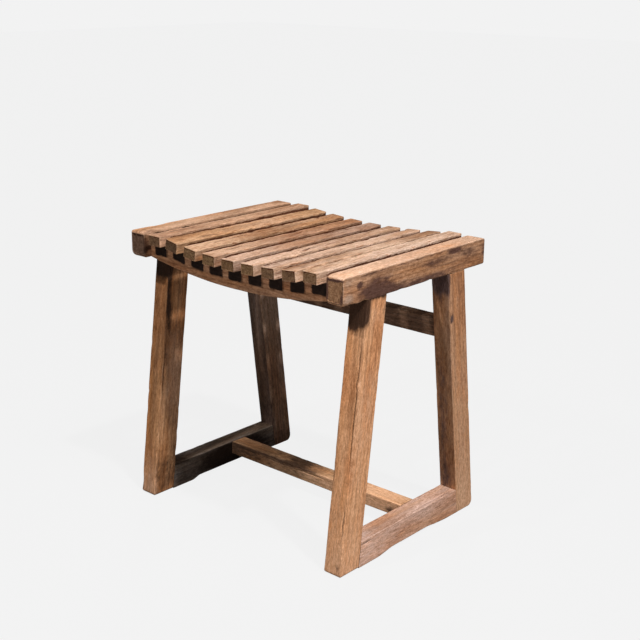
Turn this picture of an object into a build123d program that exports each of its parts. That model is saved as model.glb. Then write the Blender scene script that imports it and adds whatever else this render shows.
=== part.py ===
from build123d import *
import math
import os

# Box stool in teak, in mm. +Z is up, +X runs along the seat to the right, +Y runs to the back.
# The origin is on the floor, under the middle of the seat.

# Overall sizes
seat_height = 450.0
seat_length = 439.5
end_rail_length = 336.5
frame_thick = 31.5

# End rails: the bars at the two ends of the seat
end_rail_deep = 40.5
end_rail_edge_chamfer = 1.2
end_rail_nose_round = 4.0

# Legs, which lean in from the foot to the end rail
leg_wide = 43.2
leg_top_inset = 52.0
foot_inset = 0.5
front_foot_round = 5.0
back_foot_round = 12.0
leg_edge_chamfer = 1.0
leg_tenon_long = 28.0
leg_tenon_shoulder = 7.0

# Bottom rails, on the floor between the legs
bottom_rail_deep = 42.0
foot_pad_long = 44.0
relief_deep = 4.5
relief_ramp = 16.0
bottom_rail_edge_chamfer = 1.0
bottom_tenon_long = 24.0
bottom_tenon_shoulder = 9.0

# Low stretcher, between the bottom rails
low_stretcher_wide = 32.0
low_stretcher_deep = 22.0
low_stretcher_behind_middle = 30.0
low_tenon_long = 20.0
low_tenon_shoulder = 5.0

# Back stretcher, between the back legs
back_stretcher_wide = 23.0
back_stretcher_deep = 30.5
back_stretcher_drop = 79.5
back_tenon_long = 20.0
back_tenon_shoulder = 5.0

# Both stretchers
stretcher_edge_chamfer = 1.0

# Seat rails: the curved bars that carry the slats
seat_rail_thick = 22.0
seat_rail_inset = 13.0
seat_rail_belly = 18.4
seat_tenon_long = 20.0
seat_tenon_shoulder = 4.0

# Slats
slat_count = 9
slat_wide = 26.9
slat_thick = 17.3
slat_overhang = 3.3
seat_dip = 10.4
slat_edge_chamfer = 1.0
slat_end_round = 2.0

# Tenons are a share of the frame's thickness, as a joiner sets them
tenon_share = 1 / 3

# Slat screws, driven up through the seat rails
screw_shank = 4.0
screw_head = 8.0
screw_head_tall = 2.6
screw_slot_wide = 1.2
screw_slot_deep = 1.2
screw_grip = 18.0
screw_bite = 12.0
screw_tip = 4.0
screw_tip_share = 0.25
screw_sides = 12

# Clearances and the overrun of every cut
joint_clearance = 0.1
mortise_end_room = 1.0
screw_clearance = 0.1
counterbore_clearance = 0.6
cut_overrun = 5.0

# Places worked out from the sizes above
half_length = seat_length / 2
half_rail = end_rail_length / 2
inner_half = half_length - frame_thick
frame_x = half_length - frame_thick / 2
rail_underside = seat_height - end_rail_deep
tenon_thick = frame_thick * tenon_share
lean = (leg_top_inset - foot_inset) / rail_underside
above = (Align.CENTER, Align.CENTER, Align.MIN)
below = (Align.CENTER, Align.CENTER, Align.MAX)


def leg_face_y(z):
    """Distance of a front leg's outer face from the middle of the stool, at height z."""
    return half_rail - foot_inset - lean * z


def leg_inner_y(z):
    """The same for the leg's inner face."""
    return leg_face_y(z) - leg_wide


def slat_centres():
    """X of each slat's middle, with even gaps between the end rails."""
    gap = (2 * inner_half - slat_count * slat_wide) / (slat_count + 1)
    first = -inner_half + gap + slat_wide / 2
    return [first + i * (slat_wide + gap) for i in range(slat_count)]


def slat_places():
    """X, top height and tilt of each slat: an arc whose end slats lie level with the end rails."""
    centres = slat_centres()
    reach = centres[-1]
    radius = (reach**2 + seat_dip**2) / (2 * seat_dip)
    lowest = seat_height - seat_dip
    places = []
    for x in centres:
        if x in (centres[0], centres[-1]):
            places.append((x, seat_height, 0))
        else:
            z = lowest + radius - math.sqrt(radius**2 - x**2)
            places.append((x, z, math.degrees(math.asin(x / radius))))
    return places


def slat_frame(place):
    """Location of a slat's underside, with local Z square to it."""
    x, z, tilt = place
    return Location((x, 0, z), (0, -tilt, 0)) * Pos(0, 0, -slat_thick)


def long_edges(solid, axis):
    """The straight edges that run along an axis."""
    return solid.edges().filter_by(axis)


def extrude_x(outline, thick):
    """A flat outline of (y, z) points, extruded by half its thickness to each side of X = 0."""
    sketch = Plane.YZ * make_face(Polyline(*outline, close=True))
    return extrude(sketch, amount=thick / 2, both=True)


# Tenons. With room, the same shape is the cutter of the mortise.

def leg_tenon(room=0, end_room=0):
    """Tenon on top of the front leg, in line with the leg."""
    shoulder = leg_tenon_shoulder - room
    low = rail_underside - cut_overrun
    high = rail_underside + leg_tenon_long + end_room
    outline = [
        (-leg_face_y(low) + shoulder, low),
        (-leg_inner_y(low) - shoulder, low),
        (-leg_inner_y(high) - shoulder, high),
        (-leg_face_y(high) + shoulder, high),
    ]
    return extrude_x(outline, tenon_thick + 2 * room)


def bottom_tenon(room=0, end_room=0):
    """One straight tongue through the bottom rail, whose two ends are its tenons."""
    tall = bottom_rail_deep - 2 * bottom_tenon_shoulder
    reach = leg_inner_y(bottom_rail_deep / 2) + bottom_tenon_long + end_room
    tongue = Box(tenon_thick + 2 * room, 2 * reach, tall + 2 * room)
    return Pos(0, 0, bottom_rail_deep / 2) * tongue


def low_tenon(room=0, end_room=0):
    """The tongue of the low stretcher, placed on the stool."""
    wide = low_stretcher_wide - 2 * low_tenon_shoulder
    tall = low_stretcher_deep - 2 * low_tenon_shoulder
    reach = inner_half + low_tenon_long + end_room
    tongue = Box(2 * reach, wide + 2 * room, tall + 2 * room)
    return Pos(0, low_stretcher_behind_middle, bottom_rail_deep - low_stretcher_deep / 2) * tongue


def back_stretcher_place():
    """The back stretcher's middle, centred in the width of the back legs."""
    z = rail_underside - back_stretcher_drop - back_stretcher_deep / 2
    return Pos(0, (leg_face_y(z) + leg_inner_y(z)) / 2, z)


def back_tenon(room=0, end_room=0):
    """The tongue of the back stretcher, placed on the stool."""
    wide = back_stretcher_wide - 2 * back_tenon_shoulder
    tall = back_stretcher_deep - 2 * back_tenon_shoulder
    reach = inner_half + back_tenon_long + end_room
    return back_stretcher_place() * Box(2 * reach, wide + 2 * room, tall + 2 * room)


def seat_tenon(side, room=0, end_room=0):
    """Tenon on one end of the front seat rail. side is -1 at the left and 1 at the right."""
    top = seat_height - slat_thick
    tall = top - rail_underside - 2 * seat_tenon_shoulder
    long = seat_tenon_long + end_room + cut_overrun
    tongue = Box(long, seat_rail_thick * tenon_share + 2 * room, tall + 2 * room)
    x = side * (inner_half - cut_overrun + long / 2)
    return Pos(x, -seat_rail_y(), (top + rail_underside) / 2) * tongue


def seat_rail_y():
    """Distance of a seat rail's middle from the middle of the stool."""
    return half_rail - seat_rail_inset - seat_rail_thick / 2


# The pieces. Those at the front and on the right are made first, the others are their mirror images.

def end_rail():
    """The right end rail, with mortises for two legs and two seat rails."""
    rail = Box(frame_thick, end_rail_length, end_rail_deep)
    rail = fillet(long_edges(rail, Axis.X), end_rail_nose_round)
    outer = rail.faces().sort_by(Axis.X)
    rail = chamfer(outer[0].edges() + outer[-1].edges(), end_rail_edge_chamfer)
    rail = Pos(frame_x, 0, rail_underside + end_rail_deep / 2) * rail
    leg_mortise = Pos(frame_x, 0, 0) * leg_tenon(joint_clearance, mortise_end_room)
    seat_mortise = seat_tenon(1, joint_clearance, mortise_end_room)
    for cutter in (leg_mortise, seat_mortise):
        rail = rail - cutter - mirror(cutter, Plane.XZ)
    return rail


def front_leg(foot_round):
    """A front leg on X = 0, with its tenon and the bottom rail's mortise."""
    outline = [
        (-leg_face_y(0), 0),
        (-leg_inner_y(0), 0),
        (-leg_inner_y(rail_underside), rail_underside),
        (-leg_face_y(rail_underside), rail_underside),
    ]
    leg = extrude_x(outline, frame_thick)
    toe = long_edges(leg, Axis.X).group_by(Axis.Z)[0].sort_by(Axis.Y)[0]
    leg = fillet(toe, foot_round)
    across = long_edges(leg, Axis.X)
    shoulder = leg.edges().group_by(Axis.Z)[-1]
    leg = chamfer([edge for edge in leg.edges() if edge not in across + shoulder], leg_edge_chamfer)
    leg = leg + leg_tenon()
    return leg - bottom_tenon(joint_clearance, mortise_end_room)


def back_leg(foot_round):
    """A right back leg, with the back stretcher's mortise as well."""
    leg = Pos(frame_x, 0, 0) * mirror(front_leg(foot_round), Plane.XZ)
    return leg - back_tenon(joint_clearance, mortise_end_room)


def bottom_rail():
    """The right bottom rail: angled shoulders, foot pads, tenons and the low stretcher's mortise."""
    pad_end = leg_inner_y(0) - foot_pad_long
    half = [
        (pad_end - relief_ramp, relief_deep),
        (pad_end, 0),
        (leg_inner_y(0), 0),
        (leg_inner_y(bottom_rail_deep), bottom_rail_deep),
    ]
    outline = half + [(-y, z) for y, z in reversed(half)]
    rail = extrude_x(outline, frame_thick)
    top_edges = long_edges(rail, Axis.Y).group_by(Axis.Z)[-1]
    rail = chamfer(top_edges, bottom_rail_edge_chamfer)
    rail = Pos(frame_x, 0, 0) * (rail + bottom_tenon())
    return rail - low_tenon(joint_clearance, mortise_end_room)


def low_stretcher():
    """The bar near the floor, with its tenons."""
    bar = Box(2 * inner_half, low_stretcher_wide, low_stretcher_deep)
    bar = chamfer(long_edges(bar, Axis.X), stretcher_edge_chamfer)
    bar = Pos(0, low_stretcher_behind_middle, bottom_rail_deep - low_stretcher_deep / 2) * bar
    return bar + low_tenon()


def back_stretcher():
    """The bar between the back legs, with its tenons."""
    bar = Box(2 * inner_half, back_stretcher_wide, back_stretcher_deep)
    bar = chamfer(long_edges(bar, Axis.X), stretcher_edge_chamfer)
    return back_stretcher_place() * bar + back_tenon()


def seat_rail():
    """The front seat rail: a flat for each slat on top, an arched belly, and a bore for each screw."""
    seats = []
    for place in slat_places():
        underside = slat_frame(place)
        for side in (-1, 1):
            corner = (underside * Pos(side * slat_wide / 2, 0, 0)).position
            seats.append((corner.X, corner.Z))
    top = [(-inner_half, seats[0][1])] + seats + [(inner_half, seats[-1][1])]
    belly = ThreePointArc(
        (inner_half, rail_underside),
        (0, rail_underside - seat_rail_belly),
        (-inner_half, rail_underside),
    )
    sides = Line(top[-1], belly @ 0) + Line(belly @ 1, top[0])
    sketch = Plane.XZ * make_face(Polyline(*top) + sides + belly)
    rail = Pos(0, -seat_rail_y(), 0) * extrude(sketch, amount=seat_rail_thick / 2, both=True)
    rail = rail + seat_tenon(-1) + seat_tenon(1)
    for place in slat_places():
        rail = rail - slat_frame(place) * Pos(0, -seat_rail_y(), 0) * screw_bore()
    return rail


def slat(place):
    """One slat, with rounded ends and top edges and two screw holes."""
    bar = Box(slat_wide, end_rail_length + 2 * slat_overhang, slat_thick, align=above)
    bar = fillet(long_edges(bar, Axis.Z), slat_end_round)
    bar = chamfer(bar.faces().sort_by(Axis.Z)[-1].edges(), slat_edge_chamfer)
    for y in (-seat_rail_y(), seat_rail_y()):
        bar = bar - Pos(0, y, 0) * screw_hole()
    return slat_frame(place) * bar


# Screws. Their local Z runs up into the slat, from the face between slat and seat rail.

def round_prism(radius, length):
    """A round bar with flat sides, from local Z = 0 up, or down for a negative length."""
    return extrude(RegularPolygon(radius, screw_sides), amount=length)


def screw():
    """A slotted wood screw with a flat-topped head."""
    slot = Box(screw_head + cut_overrun, screw_slot_wide, 2 * screw_slot_deep)
    head = round_prism(screw_head / 2, -screw_head_tall) - Pos(0, 0, -screw_head_tall) * slot
    straight = screw_grip + screw_bite - screw_tip
    shank = round_prism(screw_shank / 2, straight)
    wide_end = Pos(0, 0, straight) * RegularPolygon(screw_shank / 2, screw_sides)
    blunt = screw_shank / 2 * screw_tip_share
    narrow_end = Pos(0, 0, straight + screw_tip) * RegularPolygon(blunt, screw_sides)
    tip = loft([wide_end, narrow_end], ruled=True)
    return Pos(0, 0, -screw_grip) * (head + shank + tip)


def screw_hole():
    """The hole in the slat, as deep as the screw bites."""
    radius = screw_shank / 2 + screw_clearance
    hole = round_prism(radius, screw_bite + screw_clearance + cut_overrun)
    return Pos(0, 0, -cut_overrun) * hole


def screw_bore():
    """The hole through the seat rail, with a counterbore up to the head's seat."""
    shank = round_prism(screw_shank / 2 + screw_clearance, screw_grip + 2 * cut_overrun)
    counterbore = round_prism(screw_head / 2 + counterbore_clearance, -seat_rail_belly - end_rail_deep)
    return Pos(0, 0, -screw_grip) * (Pos(0, 0, -cut_overrun) * shank + counterbore)


def slat_screws():
    """A screw up through each seat rail into each slat."""
    one = screw()
    screws = []
    for place in slat_places():
        for y in (-seat_rail_y(), seat_rail_y()):
            screws.append(slat_frame(place) * Pos(0, y, 0) * one)
    return Compound(children=screws)


def parts():
    """Every node of the stool, by name."""
    right_rail = end_rail()
    front_right = Pos(frame_x, 0, 0) * front_leg(front_foot_round)
    back_right = back_leg(back_foot_round)
    right_bottom = bottom_rail()
    front_seat = seat_rail()
    nodes = {
        "right_end_rail": right_rail,
        "left_end_rail": mirror(right_rail, Plane.YZ),
        "front_right_leg": front_right,
        "front_left_leg": mirror(front_right, Plane.YZ),
        "back_right_leg": back_right,
        "back_left_leg": mirror(back_right, Plane.YZ),
        "right_bottom_rail": right_bottom,
        "left_bottom_rail": mirror(right_bottom, Plane.YZ),
        "low_stretcher": low_stretcher(),
        "back_stretcher": back_stretcher(),
        "front_seat_rail": front_seat,
        "back_seat_rail": mirror(front_seat, Plane.XZ),
        "slat_screws": slat_screws(),
    }
    for number, place in enumerate(slat_places(), start=1):
        nodes[f"slat_{number}"] = slat(place)
    return nodes


os.makedirs("parts", exist_ok=True)
for name, shape in parts().items():
    export_step(shape, f"parts/{name}.step")
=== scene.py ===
import bpy
import math
import random
from dataclasses import dataclass, field
from mathutils import Matrix, Vector, noise


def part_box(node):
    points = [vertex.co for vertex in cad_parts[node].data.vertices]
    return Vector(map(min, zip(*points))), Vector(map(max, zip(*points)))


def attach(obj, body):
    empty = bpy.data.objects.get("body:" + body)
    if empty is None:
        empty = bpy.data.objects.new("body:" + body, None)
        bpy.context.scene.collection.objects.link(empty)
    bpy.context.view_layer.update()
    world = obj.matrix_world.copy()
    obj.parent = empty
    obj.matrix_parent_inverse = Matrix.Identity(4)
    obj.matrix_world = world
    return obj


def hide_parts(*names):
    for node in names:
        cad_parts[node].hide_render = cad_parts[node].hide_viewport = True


# Box stool in worn teak, in metres, in the frame of the construction: +Z up, +Y to the back.
# Each length of wood is a mesh of its own, lofted along its grain, with worn edges, chips and cracks.

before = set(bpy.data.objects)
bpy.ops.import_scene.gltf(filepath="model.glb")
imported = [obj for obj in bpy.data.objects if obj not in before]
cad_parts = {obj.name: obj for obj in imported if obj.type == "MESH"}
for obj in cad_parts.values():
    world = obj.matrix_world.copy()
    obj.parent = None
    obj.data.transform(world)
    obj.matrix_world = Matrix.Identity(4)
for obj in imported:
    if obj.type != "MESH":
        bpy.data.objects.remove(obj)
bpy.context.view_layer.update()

# Sizes read from the frame
rail_low, rail_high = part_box("right_end_rail")
inner_half = rail_low.x
half_length = rail_high.x
half_rail = rail_high.y
rail_under = rail_low.z
seat_top = rail_high.z
frame_thick = half_length - inner_half
frame_x = (inner_half + half_length) / 2
bottom_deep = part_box("right_bottom_rail")[1].z

# Sizes that the construction has inside its nodes
leg_wide = 0.0432
leg_top_inset = 0.052
foot_inset = 0.0005
front_foot_round = 0.005
back_foot_round = 0.012
foot_pad_long = 0.044
relief_deep = 0.0045
relief_ramps = {1: 0.038, -1: 0.018}
low_wide = 0.032
low_deep = 0.022
low_y = 0.030
back_wide = 0.023
back_deep = 0.0305
back_drop = 0.0795
seat_rail_thick = 0.022
seat_rail_inset = 0.013
seat_rail_belly = 0.0184
slat_count = 9
slat_wide = 0.0269
slat_thick = 0.0173
slat_overhang = 0.0033
seat_dip = 0.0104
rail_end_round = 0.004
slat_plan_round = 0.0030

# Slats that have warped: how far the front end has risen and turned
warped = {2: (0.0022, math.radians(-5.5)), 3: (0.0006, math.radians(-3.5))}

# Where the top of each slat is palest, and how far that reaches
slat_pale = {1: (0.0, 0.16), 2: (0.035, 0.10), 3: (-0.14, 0.10), 4: (-0.12, 0.09), 5: (-0.13, 0.10),
             6: (-0.13, 0.12), 7: (0.03, 0.11), 8: (0.015, 0.07), 9: (0.0, 0.16)}

# How many splits the top of each slat has, from the left
slat_cracks = (7, 7, 7, 7, 7, 6, 4, 4, 2)

# Wear and dirt of the wood, painted shade deep in the gaps between slats, and painted shadows on the front
# seat rail
arris = 0.0011
foot_side_round = {-1: 0.0040, 1: 0.0012}
rail_arris = 0.0014
seat_rail_arris = 0.0006
slat_arris = 0.0011
joint_round = (0.0003, 0.0003)
snug_arris = 0.0003
relief_slow = 0.00028
relief_fine = 0.00016
wear_reach = 0.0045
end_rough = 0.0004
crack_dark = 0.0008
# Painted shade with dirt deep in the gaps between slats, and a broken dirt line under each edge
gap_rim = 0.0012
gap_start = 0.0037
gap_dark = 0.0041
gap_waver = 0.0022
clean_end = 0.012
clean_ramp = 0.02
rim_dirt = 1.2
rim_break = 0.36
line_dirt = 0.30
deep_gap_shade = 1.2
# Painted shadow of each slat's front end on the front seat rail: strength, depth, half width, lean and
# shift
painted_shadow_strength = 1.1
shade_deep = 0.0195
shade_half = 0.0150
shade_lean = 0.08
shade_shift = 0.019
shade_left = 0.0022

# Where patches on one face lie, and how deep they reach
right_face = 0.22
left_face = -0.188
skin = 0.002

# The loft
column_shares = (0.035, 0.09, 0.15, 0.22, 0.32, 0.41, 0.5, 0.59, 0.68, 0.78, 0.85, 0.91, 0.965)
end_shares = (0.0, 0.1, 0.35, 0.7, 1.0)
cap_shares = (0.94, 0.89, 0.83, 0.75, 0.62, 0.45, 0.25)
outline_share = 0.80
side_outline_share = 0.92
arc_steps = 3
station_step = 0.0038

# Surround
floor_half = 12.0
backdrop = (242, 242, 242)

# Camera, fitted to the photograph, with its angles in degrees
camera_azimuth = 41.42
camera_elevation = 16.95
camera_roll = 0.44
camera_distance = 1.9123
camera_target = Vector((-0.0197, 0.0560, 0.2930))
camera_focal_px = 1164.6
image_px = 640
sensor_mm = 36.0


# Shape of the wood


@dataclass
class Crack:
    """A split along the grain of one side, from start to end, at a share of that side's width."""
    side: int
    start: float
    end: float
    share: float
    wide: float = 0.0012
    deep: float = 0.0016
    drift: float = 0.04


@dataclass
class Chip:
    """A bite out of a long edge."""
    corner: int
    where: float
    long: float
    deep: float


@dataclass
class Spot:
    """A soft patch at a place on the stool, with its reach along X, Y and Z."""
    where: tuple
    reach: tuple
    strength: float = 1.0

    def at(self, point):
        away = sum(((p - w) / r) ** 2 for p, w, r in zip(point, self.where, self.reach))
        return self.strength * math.exp(-away)


def total(spots, point):
    """The strength of all the spots at a point."""
    return sum(spot.at(point) for spot in spots)


@dataclass
class Bar:
    """A length of wood, in place of a node. Its grain runs along s, and a and b lie across it.

    bounds gives the section's lowest and highest a and b at s, and place gives the point on the stool.
    Sides 0 to 3 face low b, high a, high b and low a. Corner n lies at the end of side n.
    sides says how much darker each side is all over, partly painted shade, and shade_and_grime how dark a
    place is, from dirt and from painted shade.
    """
    node: str
    long: float
    bounds: object
    place: object
    seed: int
    slot: str = "frame_teak"
    arris: float = arris
    start_round: tuple = (0.0005, 0.0005)
    end_round: tuple = (0.0005, 0.0005)
    finer: tuple = ()
    chips: list = field(default_factory=list)
    cracks: list = field(default_factory=list)
    stains_and_shadows: list = field(default_factory=list)
    pale_patches: list = field(default_factory=list)
    snug: list = field(default_factory=list)
    sides: dict = field(default_factory=dict)
    shade_and_grime: object = lambda s, a, b: 0.0


def soft_noise(x, y, z, seed):
    """Smooth noise from 0 to 1."""
    return 0.5 + 0.5 * noise.noise(Vector((x + 7.31 * seed, y - 3.77 * seed, z + 5.13 * seed)))


def drawn_in(distance, radius):
    """How far a rounded end draws in at a distance from its tip."""
    if distance >= radius:
        return 0.0
    return radius - math.sqrt(radius**2 - (radius - distance) ** 2)


def smooth_step(value):
    """Eases from 0 to 1."""
    t = min(max(value, 0.0), 1.0)
    return t * t * (3 - 2 * t)


def stations(bar):
    """The lengths at which the bar's section is set, closer together at its ends."""
    first = max(bar.start_round)
    last = max(bar.end_round)
    places = {first * share for share in end_shares}
    places |= {bar.long - last * share for share in end_shares}
    places |= set(bar.finer)
    middle = bar.long - first - last
    count = max(2, round(middle / station_step))
    places |= {first + middle * i / count for i in range(1, count)}
    ordered = sorted(places)
    kept = [ordered[0]]
    for place in ordered[1:-1]:
        if place - kept[-1] > 0.1 * min(first, last, station_step):
            kept.append(place)
    return kept + [ordered[-1]]


def corner_radius(bar, corner, s):
    """Rounding of a long edge at s: worn unevenly, with its chips, and tight where a joint lies."""
    radius = bar.arris * (0.55 + 0.9 * soft_noise(s * 45, corner * 9.1, 0, bar.seed))
    for chip in bar.chips:
        if chip.corner == corner:
            radius += chip.deep * math.exp(-((s - chip.where) / chip.long) ** 2)
    for snug_corner, start, end in bar.snug:
        if snug_corner == corner and start <= s <= end:
            radius = snug_arris
    return radius


def side_columns(bar, side, s, width):
    """Shares of a side's width at which it has a vertex, and how deep a crack goes at each."""
    shares = list(column_shares)
    depths = [0.0] * len(shares)
    for crack in bar.cracks:
        if crack.side != side:
            continue
        near = min(range(1, len(shares) - 1), key=lambda i: abs(column_shares[i] - crack.share))
        fade = 4 * station_step
        pull = smooth_step((s - crack.start + fade) / fade) * smooth_step((crack.end + fade - s) / fade)
        along = min(max((s - crack.start) / (crack.end - crack.start), 0.0), 1.0)
        open_share = math.sin(math.pi * along) ** 0.6
        middle = crack.share + crack.drift * (soft_noise(s * 22, side, crack.share * 5, bar.seed) - 0.5)
        half = crack.wide * (0.25 + 0.75 * open_share) / (2 * width)
        for index, place in ((near - 1, middle - half), (near, middle), (near + 1, middle + half)):
            shares[index] += (place - shares[index]) * pull
        depths[near] = max(depths[near], crack.deep * open_share * pull)
    return shares, depths


def section(bar, s):
    """The loop of points round the bar at s, each with the direction that points into the wood."""
    a_low, a_high, b_low, b_high = bar.bounds(s)
    inset_a = drawn_in(s, bar.start_round[0]) + drawn_in(bar.long - s, bar.end_round[0])
    inset_b = drawn_in(s, bar.start_round[1]) + drawn_in(bar.long - s, bar.end_round[1])
    a_low, a_high = a_low + inset_a, a_high - inset_a
    b_low, b_high = b_low + inset_b, b_high - inset_b
    corners = [(a_low, b_low), (a_high, b_low), (a_high, b_high), (a_low, b_high)]
    outward = [(0, -1), (1, 0), (0, 1), (-1, 0)]
    limit = 0.4 * min(a_high - a_low, b_high - b_low)
    radii = [min(corner_radius(bar, corner, s), limit) for corner in range(4)]
    points = []
    for side in range(4):
        start, end = corners[side], corners[(side + 1) % 4]
        width = abs(end[0] - start[0]) + abs(end[1] - start[1])
        along = ((end[0] - start[0]) / width, (end[1] - start[1]) / width)
        out = outward[side]
        before, after = radii[side - 1], radii[side]
        shares, depths = side_columns(bar, side, s, width)
        for share, depth in zip(shares, depths):
            t = before + (width - before - after) * share
            points.append((start[0] + along[0] * t, start[1] + along[1] * t, -out[0], -out[1], depth))
        centre = [end[k] - along[k] * after - out[k] * after for k in range(2)]
        for step in range(arc_steps + 1):
            turn = math.pi / 2 * step / arc_steps
            ray = [out[k] * math.cos(turn) + along[k] * math.sin(turn) for k in range(2)]
            a, b = centre[0] + after * ray[0], centre[1] + after * ray[1]
            points.append((a, b, -ray[0], -ray[1], 0.0))
    return points, (a_low, a_high, b_low, b_high)


def side_of(index):
    """The side that a point of a section lies on. The arc at its end is shared with the next side."""
    side, within = divmod(index, len(column_shares) + arc_steps + 1)
    on_arc = within - len(column_shares)
    return (side + (on_arc > arc_steps / 2)) % 4


def hollow(bar, s, a, b):
    """How far the weathered surface lies below the planed one."""
    slow = soft_noise(s * 13, a * 70, b * 70, bar.seed)
    fine = soft_noise(s * 55, a * 520, b * 520, bar.seed + 1)
    return relief_slow * slow + relief_fine * fine


def edge_wear(bar, s, a, b, limits):
    """1 on an edge of the bar, falling to 0 inside its faces."""
    a_low, a_high, b_low, b_high = limits
    gaps = sorted((min(a - a_low, a_high - a), min(b - b_low, b_high - b), min(s, bar.long - s)))
    return max(0.0, 1.0 - max(gaps[1], 0.0) / wear_reach)


class Loft:
    """Gathers the vertices, faces and attributes of one bar."""

    def __init__(self, bar):
        self.bar = bar
        self.points, self.faces, self.grain, self.looks = [], [], [], []
        loops = [self.loop(s) for s in stations(bar)]
        for before, after in zip(loops, loops[1:]):
            self.band(before, after)
        self.cap(loops[0], 0.0, 1.0)
        self.cap(loops[-1], bar.long, -1.0)

    def vertex(self, s, a, b, wear, end, dirt_and_shade=0.0, side_darkening=0.0):
        self.points.append(self.bar.place(s, a, b))
        self.grain.append((s, a, b))
        self.looks.append((wear, end, dirt_and_shade, side_darkening))
        return len(self.points) - 1

    def loop(self, s):
        points, limits = section(self.bar, s)
        tip = 1.0 if min(s, self.bar.long - s) <= 0 else 0.0
        made = []
        for index, (a, b, into_a, into_b, depth) in enumerate(points):
            sink = depth + (0.0 if tip else hollow(self.bar, s, a, b))
            wear = edge_wear(self.bar, s, a, b, limits)
            # Dirt, and painted shade in the gaps and under the slat ends, with cracks darker by depth
            dirt_and_shade = self.bar.shade_and_grime(s, a, b) + min(depth / crack_dark, 1.0)
            # How much darker this side is all over: painted shade on sides in the stool's shade, darker
            # wood on others
            side_darkening = self.bar.sides.get(side_of(index), 0.0)
            made.append(self.vertex(s, a + into_a * sink, b + into_b * sink, wear, tip, dirt_and_shade, side_darkening))
        return made

    def band(self, before, after):
        count = len(before)
        for i in range(count):
            j = (i + 1) % count
            self.faces.append((before[i], before[j], after[j], after[i]))

    def cap(self, loop, s, inward):
        centre_a = sum(self.grain[i][1] for i in loop) / len(loop)
        centre_b = sum(self.grain[i][2] for i in loop) / len(loop)
        highest = max(self.grain[i][2] for i in loop)
        outer = loop
        for share in cap_shares:
            ring = []
            for i in loop:
                a = centre_a + (self.grain[i][1] - centre_a) * share
                b = centre_b + (self.grain[i][2] - centre_b) * share
                rough = end_rough * soft_noise(a * 420, b * 420, s, self.bar.seed + 2)
                broken = soft_noise(a * 160, b * 160, s * 9, self.bar.seed + 3) > rim_break
                upper = b > centre_b + (highest - centre_b) * share - arris
                beside = a > centre_a and share > side_outline_share
                dirt_and_shade = rim_dirt if broken and share > outline_share and (upper or beside) else 0.0
                ring.append(self.vertex(s + inward * rough, a, b, 0.0, 1.0, dirt_and_shade))
            self.band(outer, ring)
            outer = ring
        tip = self.vertex(s, centre_a, centre_b, 0.0, 1.0)
        for i in range(len(outer)):
            self.faces.append((outer[i], outer[(i + 1) % len(outer)], tip))

    def mesh(self):
        bar = self.bar
        made = bpy.data.meshes.new(bar.node + "_wood")
        made.from_pydata(self.points, [], self.faces)
        wear, end, dirt_and_shade, side_darkening = zip(*self.looks)
        # Stains, dirt and painted shade and shadow, in one attribute
        stain = [min(1.0, d + total(bar.stains_and_shadows, p)) for p, d in zip(self.points, dirt_and_shade)]
        pale_patches = [min(1.0, total(bar.pale_patches, p)) for p in self.points]
        grain = made.attributes.new("grain", "FLOAT_VECTOR", "POINT")
        grain.data.foreach_set("vector", [c for g in self.grain for c in g])
        marked = {"wear": wear, "end": end, "stain": stain, "pale_patches": pale_patches, "side_darkening": side_darkening}
        for name, values in marked.items():
            made.attributes.new(name, "FLOAT", "POINT").data.foreach_set("value", values)
        volume = sum(signed_volume(made, face) for face in made.polygons)
        if volume < 0:
            made.flip_normals()
        made.shade_smooth()
        return made


def signed_volume(mesh, face):
    """Six times the volume between a face and the origin, negative where the face is turned inward."""
    corners = [mesh.vertices[i].co for i in face.vertices]
    return sum(corners[0].dot(p.cross(q)) for p, q in zip(corners[1:], corners[2:]))


def scattered_chips(seed, count, long, corners, deepest):
    """Chips along the long edges, at places that depend on the seed alone."""
    dice = random.Random(seed)
    chips = []
    for _ in range(count):
        where = dice.uniform(0.02, 0.98) * long
        corner = dice.choice(corners)
        chips.append(Chip(corner, where, dice.uniform(0.002, 0.009), dice.uniform(0.3, 1) * deepest))
    return chips


def scattered_cracks(seed, count, long, side):
    """Fine splits along one side, at places that depend on the seed alone."""
    dice = random.Random(seed)
    cracks = []
    for _ in range(count):
        start = dice.uniform(0.03, 0.80) * long
        end = min(start + dice.uniform(0.015, 0.070), 0.97 * long)
        cracks.append(Crack(side, start, end, dice.uniform(0.12, 0.88), 0.0009, 0.0008, 0.08))
    return cracks


# Where each piece lies


def leg_face_y(z):
    """Distance of a leg's outer face from the middle of the stool."""
    lean = (leg_top_inset - foot_inset) / rail_under
    return half_rail - foot_inset - lean * z


def seat_rail_y():
    """Distance of a seat rail's middle from the middle of the stool."""
    return half_rail - seat_rail_inset - seat_rail_thick / 2


def slat_places():
    """X, top height and tilt of each slat, on the arc of the seat. The end slats lie level."""
    gap = (2 * inner_half - slat_count * slat_wide) / (slat_count + 1)
    centres = [-inner_half + gap + slat_wide / 2 + i * (slat_wide + gap) for i in range(slat_count)]
    radius = (centres[-1] ** 2 + seat_dip**2) / (2 * seat_dip)
    places = [(centres[0], seat_top, 0.0)]
    for x in centres[1:-1]:
        z = seat_top - seat_dip + radius - math.sqrt(radius**2 - x**2)
        places.append((x, z, math.asin(x / radius)))
    return places + [(centres[-1], seat_top, 0.0)]


def front_places():
    """The same at the front ends, where two slats have warped."""
    places = slat_places()
    for number, (lift, turn) in warped.items():
        x, z, tilt = places[number - 1]
        places[number - 1] = (x, z + lift, tilt + turn)
    return places


def seat_line(places):
    """The top of a seat rail as points of X and Z: a flat under each slat."""
    points = []
    for x, z, tilt in places:
        for side in (-1, 1):
            across = side * slat_wide / 2
            points.append((x + across * math.cos(tilt) + slat_thick * math.sin(tilt),
                           z + across * math.sin(tilt) - slat_thick * math.cos(tilt)))
    return [(-inner_half, points[0][1])] + points + [(inner_half, points[-1][1])]


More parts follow.
